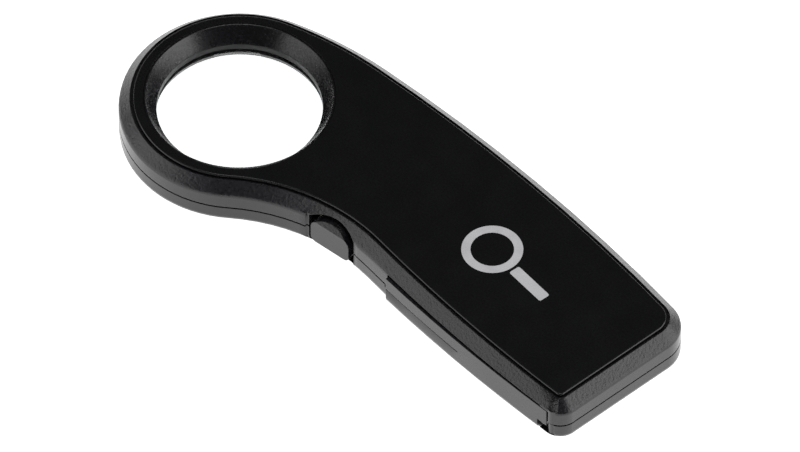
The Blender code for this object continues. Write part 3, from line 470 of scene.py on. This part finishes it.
def spun(profile, steps=160, centre=(0.0, 0.0)):
    """A closed solid: the profile [(radius, height), ...] turned once round the lens axis."""
    bm = bmesh.new()
    verts = [bm.verts.new((LENS_X + centre[0] + r, LENS_Y + centre[1], z)) for r, z in profile]
    pairs = list(zip(verts, verts[1:]))
    if profile[0][0] > 0 and profile[-1][0] > 0:
        pairs.append((verts[-1], verts[0]))
    edges = [bm.edges.new(pair) for pair in pairs]
    bmesh.ops.spin(
        bm,
        geom=verts + edges,
        cent=(LENS_X + centre[0], LENS_Y + centre[1], 0),
        axis=(0, 0, 1),
        angle=2 * pi,
        steps=steps,
        use_merge=True,
    )
    bmesh.ops.remove_doubles(bm, verts=bm.verts, dist=0.001 * MM)
    bmesh.ops.recalc_face_normals(bm, faces=bm.faces)
    return bm


# %% The panel itself
PANEL_LOW, PANEL_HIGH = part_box("front_panel")
PANEL_TOP = PANEL_HIGH.z
BEVEL_W = 2.75 * MM
PANEL_INSET = BEVEL_W + 0.8 * MM
PANEL_ROUND = 0.45 * MM
RIM_R = 22.7 * MM
BORE_R = 20.0 * MM
CONE_H = 4.0 * MM
levels = [(PANEL_INSET, PANEL_LOW.z), (PANEL_INSET, PANEL_TOP - PANEL_ROUND)]
for step in range(1, 5):
    turn = radians(22.5 * step)
    levels.append((PANEL_INSET + PANEL_ROUND * (1 - cos(turn)), PANEL_TOP - PANEL_ROUND * (1 - sin(turn))))
COLLAR_R = RIM_R + 0.35 * MM
HOLE_R = COLLAR_R + 0.1 * MM
HOLE_HIGH, HOLE_LOW = PANEL_TOP + MM, PANEL_LOW.z - MM
hole = spun([(0.0, HOLE_HIGH), (HOLE_R, HOLE_HIGH), (HOLE_R, HOLE_LOW), (0.0, HOLE_LOW)])
plate = carved(stacked(levels), hole)
piece("panel_plate", plate, PANEL_ABS, "case", ["front_panel"])

# %% [markdown]
# ## The lens, its step and the tapered collar
#
# The eye looks down a short funnel: a textured cone, then a smooth dark step, and then the lens. All
# three are turned shapes, so each one is a profile that is spun round the lens axis. The lens is
# convex on both sides, and its two arcs come from one radius.

# %% Turned pieces round the lens axis
LENS_LOW, LENS_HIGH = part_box("lens")
LENS_R = 21.0 * MM
LENS_CURVE_R = 98.0 * MM


def dome(radius):
    """How far the lens falls away from its crown at this distance from the axis."""
    return LENS_CURVE_R - sqrt(LENS_CURVE_R**2 - radius**2)


radii = [LENS_R * i / 24 for i in range(25)]
upper_face = [(r, LENS_HIGH.z - dome(r)) for r in radii]
lower_face = [(r, LENS_LOW.z + dome(r)) for r in reversed(radii)]
lens_profile = upper_face + lower_face
piece("lens_clear", spun(lens_profile), ACRYLIC, "case", ["lens"], weigh=False)

RING_LOW, RING_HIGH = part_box("lens_ring")
ring_soft = 0.15 * MM
ring_profile = [
    (BORE_R + ring_soft, RING_HIGH.z),
    (LENS_R, RING_HIGH.z),
    (LENS_R, RING_LOW.z),
    (BORE_R + ring_soft, RING_LOW.z),
    (BORE_R, RING_LOW.z + ring_soft),
    (BORE_R, RING_HIGH.z - ring_soft),
]
piece("step_ring", spun(ring_profile), RING_ABS, "case", ["lens_ring"])

CONE_LOW = PANEL_TOP - CONE_H
collar_profile = [
    (RIM_R + 0.1 * MM, PANEL_TOP),
    (COLLAR_R, PANEL_TOP - 0.1 * MM),
    (COLLAR_R, PANEL_LOW.z - 0.2 * MM),
    (BORE_R + 0.5 * MM, CONE_LOW),
    (BORE_R - 0.02 * MM, CONE_LOW),
    (RIM_R - 0.08 * MM, PANEL_TOP - 0.06 * MM),
]
piece("lens_collar", spun(collar_profile), COLLAR_ABS, "case")

# %% [markdown]
# ## A small printed sign
#
# The panel of such a tool often carries a printed sign in white ink. This one is a plain
# pictogram of a lens: a ring and a bar. A print has almost no thickness, so each shape is a flat
# form raised by two hundredths of a millimetre.


# %% The pictogram
SIGN_AT = Vector((28.5 * MM, 9.4 * MM, PANEL_TOP + 0.005 * MM))
SIGN_TURN = Matrix.Translation(SIGN_AT) @ Matrix.Rotation(radians(-2), 4, "Z")
sign_ring = spun(
    [(7.4 * MM, 0.02 * MM), (7.4 * MM, 0.0), (5.2 * MM, 0.0), (5.2 * MM, 0.02 * MM)],
    steps=96,
    centre=(-LENS_X, -LENS_Y),
)
bmesh.ops.transform(sign_ring, matrix=SIGN_TURN, verts=sign_ring.verts)
piece("sign_ring", sign_ring, WHITE_INK, "case", weigh=False)

sign_bar = bmesh.new()
bmesh.ops.create_cube(sign_bar, size=1.0)
bmesh.ops.scale(sign_bar, vec=(11.5 * MM, 3.0 * MM, 0.02 * MM), verts=sign_bar.verts)
bmesh.ops.translate(sign_bar, vec=(13.9 * MM, 0, 0.01 * MM), verts=sign_bar.verts)
uprights = [e for e in sign_bar.edges if abs(e.verts[0].co.z - e.verts[1].co.z) > 0.01 * MM]
bmesh.ops.bevel(
    sign_bar, geom=uprights, offset=0.5 * MM, segments=4, profile=0.5, affect="EDGES", material=-1
)
bmesh.ops.transform(sign_bar, matrix=SIGN_TURN, verts=sign_bar.verts)
piece("sign_bar", sign_bar, WHITE_INK, "case", weigh=False)

# %% [markdown]
# ## The cells
#
# Each cell is a turned can: a flat base, a sleeve that is rolled over the shoulder, and a contact
# nub. The profile is spun upright and then laid along the handle, and the faces of the bare
# metal ends and of the coloured band get their own material.


# %% Two turned cells
def cell(name, source, nub_side, body="case"):
    low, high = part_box(source)
    middle = (low + high) / 2
    half, radius = (high.x - low.x) / 2, (high.y - low.y) / 2
    nub = 0.9 * MM
    roll = 0.35 * MM
    profile = [
        (0.0, half),
        (1.75 * MM, half),
        (1.9 * MM, half - 0.15 * MM),
        (1.9 * MM, half - nub),
        (4.0 * MM, half - nub - 0.1 * MM),
        (4.2 * MM, half - nub + 0.02 * MM),
        (radius - roll, half - nub + 0.02 * MM),
        (radius - 0.1 * MM, half - nub - 0.12 * MM),
        (radius, half - nub - roll),
        (radius, half - 9 * MM),
        (radius, -half + roll),
        (radius - 0.1 * MM, -half + 0.1 * MM),
        (radius - roll, -half),
        (4.3 * MM, -half),
        (4.1 * MM, -half + 0.15 * MM),
        (0.0, -half + 0.15 * MM),
    ]
    bm = spun(profile, steps=72, centre=(-LENS_X, -LENS_Y))
    for face in bm.faces:
        centre = face.calc_center_median()
        if hypot(centre.x, centre.y) < 4.15 * MM:
            face.material_index = 1
        elif centre.z > half - 9 * MM:
            face.material_index = 2
    laid = Matrix.Translation(middle) @ Matrix.Rotation(nub_side * radians(90), 4, "Y")
    bmesh.ops.transform(bm, matrix=laid, verts=bm.verts)
    return piece(name, bm, [SLEEVE, NICKEL, SLEEVE_BAND], body, [source])


cell("cell_near", "battery_cell_near", -1)
cell("cell_far", "battery_cell_far", 1)

# %% [markdown]
# ## Finishes for the pieces that keep their shape
#
# Springs, plates, wires, screws and the parts on the board are right as they are. They only need
# their material. The turned and drawn ones are welded copies, so that they shade smoothly.

# %% Materials and smooth copies of the small parts
FINISHES = {
    "circuit_board": (SOLDER_MASK, "green_board"),
    "switch_body": (SWITCH_NYLON, "switch_nylon"),
    "switch_plunger": (WHITE_NYLON, "plunger_nylon"),
    "resistor": (LACQUER, "resistor_lacquer"),
    "led_near": (LED_EPOXY, "led_epoxy"),
    "led_far": (LED_EPOXY, "led_epoxy"),
    "positive_contact": (NICKEL, "nickel_plate"),
    "negative_contact": (NICKEL, "nickel_plate"),
    "bridge_contact": (NICKEL, "nickel_plate"),
    "negative_spring": (NICKEL, "nickel_plate"),
    "bridge_spring": (NICKEL, "nickel_plate"),
    "wire_positive": (RED_PVC, "red_pvc"),
    "wire_negative": (BLACK_PVC, "black_pvc"),
    "door_hinge_pin": (STEEL, "bright_steel"),
    "case_screw_1": (STEEL, "bright_steel"),
    "case_screw_2": (STEEL, "bright_steel"),
    "case_screw_3": (STEEL, "bright_steel"),
    "case_screw_4": (STEEL, "bright_steel"),
}
bodies = frame["record"]["behaviour"]["bodies"]
body_of_node = {name: body for body, names in bodies.items() for name in names}
for source, (material, slot_name) in FINISHES.items():
    piece(f"{source}_finish", welded_copy(source), material, body_of_node[source], [source])

# %% [markdown]
# ## The table, the lights and the camera
#
# The case is black, so it is drawn by what it mirrors. A white table and two wide soft boxes, left
# and right, light its sides and bevels, with a small one overhead. The air between them stays dark,
# which keeps the panel black.
# The table glows a little, as a light table does, so that it stays white under the lens.

# %% The table
table = bmesh.new()
bmesh.ops.create_grid(table, x_segments=1, y_segments=1, size=6.0)
bmesh.ops.translate(table, vec=(0, 0, -0.3 * MM), verts=table.verts)
table_mesh = bpy.data.meshes.new("table_top")
table.to_mesh(table_mesh)
table.free()
table_top = bpy.data.objects.new("table_top", table_mesh)
bpy.context.scene.collection.objects.link(table_top)
LIGHT_TABLE, _, _ = new_material("light_table", Roughness=0.8, Emission_Strength=1.1)
LIGHT_TABLE.node_tree.nodes["Principled BSDF"].inputs["Emission Color"].default_value = linear("#ffffff")
LIGHT_TABLE.node_tree.nodes["Principled BSDF"].inputs["Base Color"].default_value = linear("#f2f2f2")
table_mesh.materials.append(LIGHT_TABLE)


# %% The soft boxes and the surroundings
def softbox(name, azimuth, elevation, distance, width, height, radiance):
    """A rectangular light that faces the object. Azimuth 0 stands at -Y and 90 at +X."""
    light = bpy.data.lights.new(name, "AREA")
    light.shape = "RECTANGLE"
    light.size, light.size_y = width, height
    light.energy = radiance * pi * width * height
    obj = bpy.data.objects.new(name, light)
    bpy.context.scene.collection.objects.link(obj)
    a, e = radians(azimuth), radians(elevation)
    towards = Vector((sin(a) * cos(e), -cos(a) * cos(e), sin(e)))
    obj.location = towards * distance
    obj.rotation_euler = towards.to_track_quat("Z", "Y").to_euler()
    return obj


CAMERA_AZIMUTH, CAMERA_ELEVATION = 48.8, 49.6
softbox("left_softbox", CAMERA_AZIMUTH - 80, 18, 1.2, 1.3, 0.9, 1.55)
softbox("right_softbox", CAMERA_AZIMUTH + 80, 18, 1.2, 1.3, 0.9, 2.7)
softbox("top_softbox", CAMERA_AZIMUTH, 88, 1.5, 0.7, 0.7, 2.6)

world = bpy.data.worlds.new("studio")
bpy.context.scene.world = world
world.use_nodes = True
air = world.node_tree
air.nodes.clear()
seen = node(air, "ShaderNodeBackground", Color=linear("#ffffff"), Strength=1.1)
dim = node(air, "ShaderNodeBackground", Color=linear("#ffffff"), Strength=0.07)
path = node(air, "ShaderNodeLightPath")
for_camera = path.outputs["Is Camera Ray"]
mix = node(air, "ShaderNodeMixShader", _0=for_camera, _1=dim.outputs[0], _2=seen.outputs[0])
node(air, "ShaderNodeOutputWorld", Surface=mix.outputs[0])
bpy.context.scene.view_settings.view_transform = "Standard"
bpy.context.scene.view_settings.look = "None"

# %% [markdown]
# The camera stands nearly five metres off with a long lens, so the lines of the case stay almost
# parallel. The aim is set as so many millimetres to the right of the lens axis and below it, as the camera
# sees them.

# %% The camera
VIEW_WIDTH = 191.846523 * MM
SENSOR_WIDTH = 36.0
a, e = radians(CAMERA_AZIMUTH), radians(CAMERA_ELEVATION)
back = Vector((sin(a) * cos(e), -cos(a) * cos(e), sin(e)))
right = Vector((cos(a), sin(a), 0))
up = back.cross(right)
aim = Vector((LENS_X, LENS_Y, PANEL_TOP)) + right * 38.48 * MM - up * 31.26 * MM
distance = 4.8
camera_data = bpy.data.cameras.new("camera")
camera_data.sensor_width = SENSOR_WIDTH
camera_data.lens = SENSOR_WIDTH * distance / VIEW_WIDTH
camera_data.clip_end = 50
camera = bpy.data.objects.new("camera", camera_data)
bpy.context.scene.collection.objects.link(camera)
camera.location = aim + back * distance
camera.rotation_euler = Matrix((right, up, back)).transposed().to_euler()
bpy.context.scene.camera = camera
print("focal length in mm:", round(camera_data.lens))
